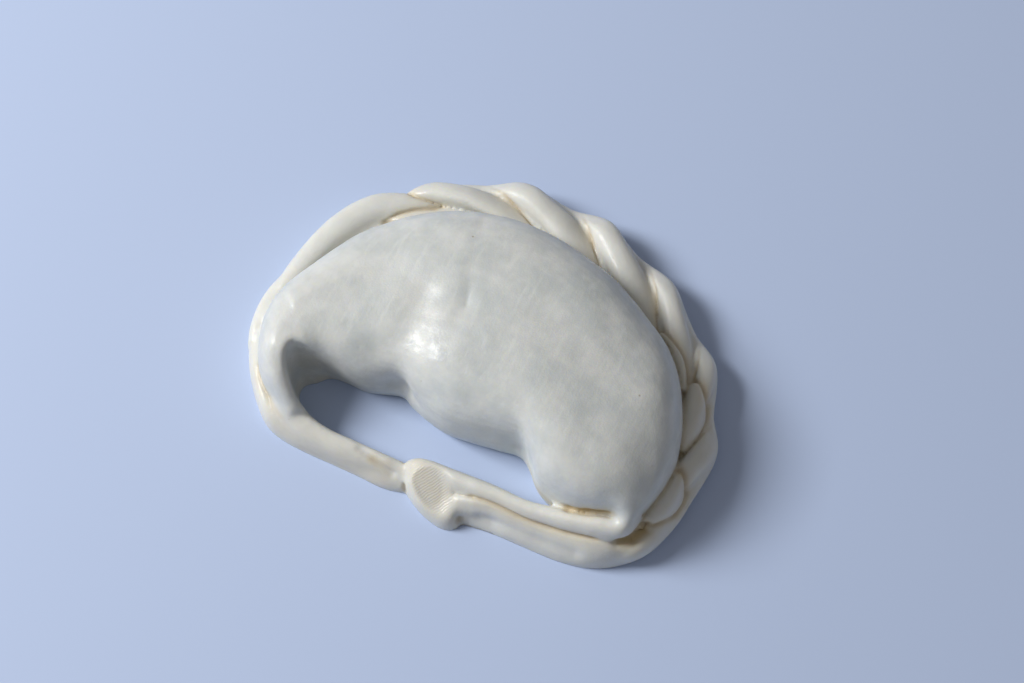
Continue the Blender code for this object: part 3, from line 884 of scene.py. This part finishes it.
def doughColour(tree, place, isBelly):
    # cloudy sheet, painted light on the belly's lower front, creamy rope, painted yellow glow and shade
    # in the folds, painted shade at their bottoms, drier streaks, a few specks
    cloud = ranged(tree, noiseOf(tree, place, "cloud"), "cloud")
    colour = mixed(tree, cloud, linear(dough["belly"]), linear(dough["bellyWarm"]))
    # painted light on the belly's lower front
    paintedLight = times(tree, reader(tree, "paintedLight"), strengths["paintedLight"])
    colour = mixed(tree, paintedLight, colour, linear(dough["paintedLight"]))
    colour = mixed(tree, isBelly, linear(dough["rope"]), colour)
    smear = ranged(tree, noiseOf(tree, place, "smear"), "smear")
    shade = add(tree, "ShaderNodeCombineXYZ", i0=smear, i1=smear, i2=smear).outputs[0]
    colour = mixed(tree, strengths["smear"], colour, shade, "MULTIPLY")
    # painted yellow glow and shade in the folds, then painted shade at their bottoms
    for name in ("paintedGlowShade", "paintedCreaseShade"):
        amount = times(tree, reader(tree, name), strengths[name])
        colour = mixed(tree, amount, colour, linear(dough[name]))
    scuff = ranged(tree, noiseOf(tree, stretched(tree, place, "scuff"), "scuff"), "scuff")
    scuff = times(tree, scuff, times(tree, isBelly, strengths["scuff"]))
    colour = mixed(tree, scuff, colour, linear(dough["scuff"]))
    specks = add(tree, "ShaderNodeTexVoronoi", Vector=place, Scale=per(speckSpacing), Randomness=1.0)
    chance = add(tree, "ShaderNodeSeparateColor", i0=specks.outputs["Color"]).outputs[0]
    spot = times(tree, ranged(tree, specks.outputs["Distance"], "speck"), ranged(tree, chance, "chance"))
    return mixed(tree, times(tree, spot, strengths["speck"]), colour, linear(dough["speck"]))


def doughRelief(tree, place):
    # fine grain, soft wrinkles, and the ridges of the fingers that pressed it
    grain = noiseOf(tree, place, "grain")
    wrinkle = noiseOf(tree, stretched(tree, place, "wrinkle"), "wrinkle")
    wrinkle = times(tree, wrinkle, strengths["wrinkle"])
    height = maths(tree, "MULTIPLY_ADD", grain, strengths["grain"], wrinkle)
    turned = stretched(tree, place, "ridges")
    ridges = add(tree, "ShaderNodeTexWave", Vector=turned, **ridgeWave).outputs["Fac"]
    patches = ranged(tree, noiseOf(tree, place, "patches"), "patches")
    patches = times(tree, patches, strengths["patches"])
    where = maths(tree, "MAXIMUM", patches, reader(tree, "pressed"))
    height = maths(tree, "MULTIPLY_ADD", times(tree, ridges, where), strengths["ridges"], height)
    return add(tree, "ShaderNodeBump", Height=height, **bumps).outputs[0]


def doughMaterial():
    material, tree, shader = newMaterial("rawWheatDough")
    place = add(tree, "ShaderNodeTexCoord").outputs["Object"]
    damp = noiseOf(tree, place, "damp")    # in patches, so highlights break up
    relief = doughRelief(tree, place)
    tree.links.new(doughColour(tree, place, reader(tree, "belly")), shader.inputs["Base Color"])
    tree.links.new(ranged(tree, damp, "roughness"), shader.inputs["Roughness"])
    tree.links.new(ranged(tree, damp, "coat"), shader.inputs["Coat Weight"])
    tree.links.new(relief, shader.inputs["Normal"])
    tree.links.new(relief, shader.inputs["Coat Normal"])
    for name, value in surface.items():
        shader.inputs[name].default_value = value
    return material


def buildEmpanada():
    parts = doughParts()
    print("rolls made:", len(parts))
    obj = fused(parts)
    print("fused:", len(obj.data.polygons), "faces")
    detail(obj, parts)
    print("details worked in")
    obj.data.materials.clear()
    obj.data.materials.append(doughMaterial())
    obj.data.shade_smooth()
    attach(obj, "root")
    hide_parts("empanada")


paper = {"colour": "b9c8e5", "roughness": 0.85, "size": 3.0}


def buildFloor():
    material, _, shader = newMaterial("paleBluePaper")
    shader.inputs["Base Color"].default_value = linear(paper["colour"])
    shader.inputs["Roughness"].default_value = paper["roughness"]
    bpy.ops.mesh.primitive_plane_add(size=paper["size"], location=(0.0, 0.0, 0.0))
    floor = bpy.context.object
    floor.name = "floor"
    floor.data.materials.append(material)


view = {
    "azimuth": 27.0,    # degrees round from the front
    "elevation": 68.0,
    "lens": 85.0,
    "sensor": 36.0,
    "distance": 0.55580,
    "target": (0.000217, 0.003602, 0.003746),
    "clip": 0.01,
}


def buildCamera():
    azimuth, elevation = math.radians(view["azimuth"]), math.radians(view["elevation"])
    back = Vector((
        math.sin(azimuth) * math.cos(elevation),
        -math.cos(azimuth) * math.cos(elevation),
        math.sin(elevation),
    ))
    camera = bpy.data.objects.new("camera", bpy.data.cameras.new("camera"))
    bpy.context.scene.collection.objects.link(camera)
    camera.data.lens = view["lens"]
    camera.data.sensor_width = view["sensor"]
    camera.data.clip_start = view["clip"]
    camera.location = Vector(view["target"]) + back * view["distance"]
    camera.rotation_euler = back.to_track_quat("Z", "Y").to_euler()
    bpy.context.scene.camera = camera


daylight = {
    "turn": 12.0,        # degrees behind the left side of the view
    "height": 42.0,
    "distance": 1.1,
    "size": 0.42,
    "energy": 12.1,
    "room": (0.96, 0.95, 0.97, 1.0),
    "roomStrength": 0.22,
}


def buildLight():
    azimuth = math.radians(view["azimuth"])
    right = Vector((math.cos(azimuth), math.sin(azimuth), 0.0))
    away = Vector((-math.sin(azimuth), math.cos(azimuth), 0.0))
    turn, height = math.radians(daylight["turn"]), math.radians(daylight["height"])
    towards = (-right * math.cos(turn) + away * math.sin(turn)) * math.cos(height)
    towards = towards + Vector((0, 0, math.sin(height)))
    light = bpy.data.lights.new("window", "AREA")
    light.energy = daylight["energy"]
    light.size = daylight["size"]
    lamp = bpy.data.objects.new("window", light)
    bpy.context.scene.collection.objects.link(lamp)
    lamp.location = towards * daylight["distance"]
    lamp.rotation_euler = towards.to_track_quat("Z", "Y").to_euler()
    world = bpy.data.worlds.new("room")
    world.use_nodes = True
    background = world.node_tree.nodes["Background"]
    background.inputs["Color"].default_value = daylight["room"]
    background.inputs["Strength"].default_value = daylight["roomStrength"]
    bpy.context.scene.world = world


bpy.context.scene.view_settings.view_transform = "Standard"
buildEmpanada()
print("empanada done")
buildFloor()
buildCamera()
buildLight()
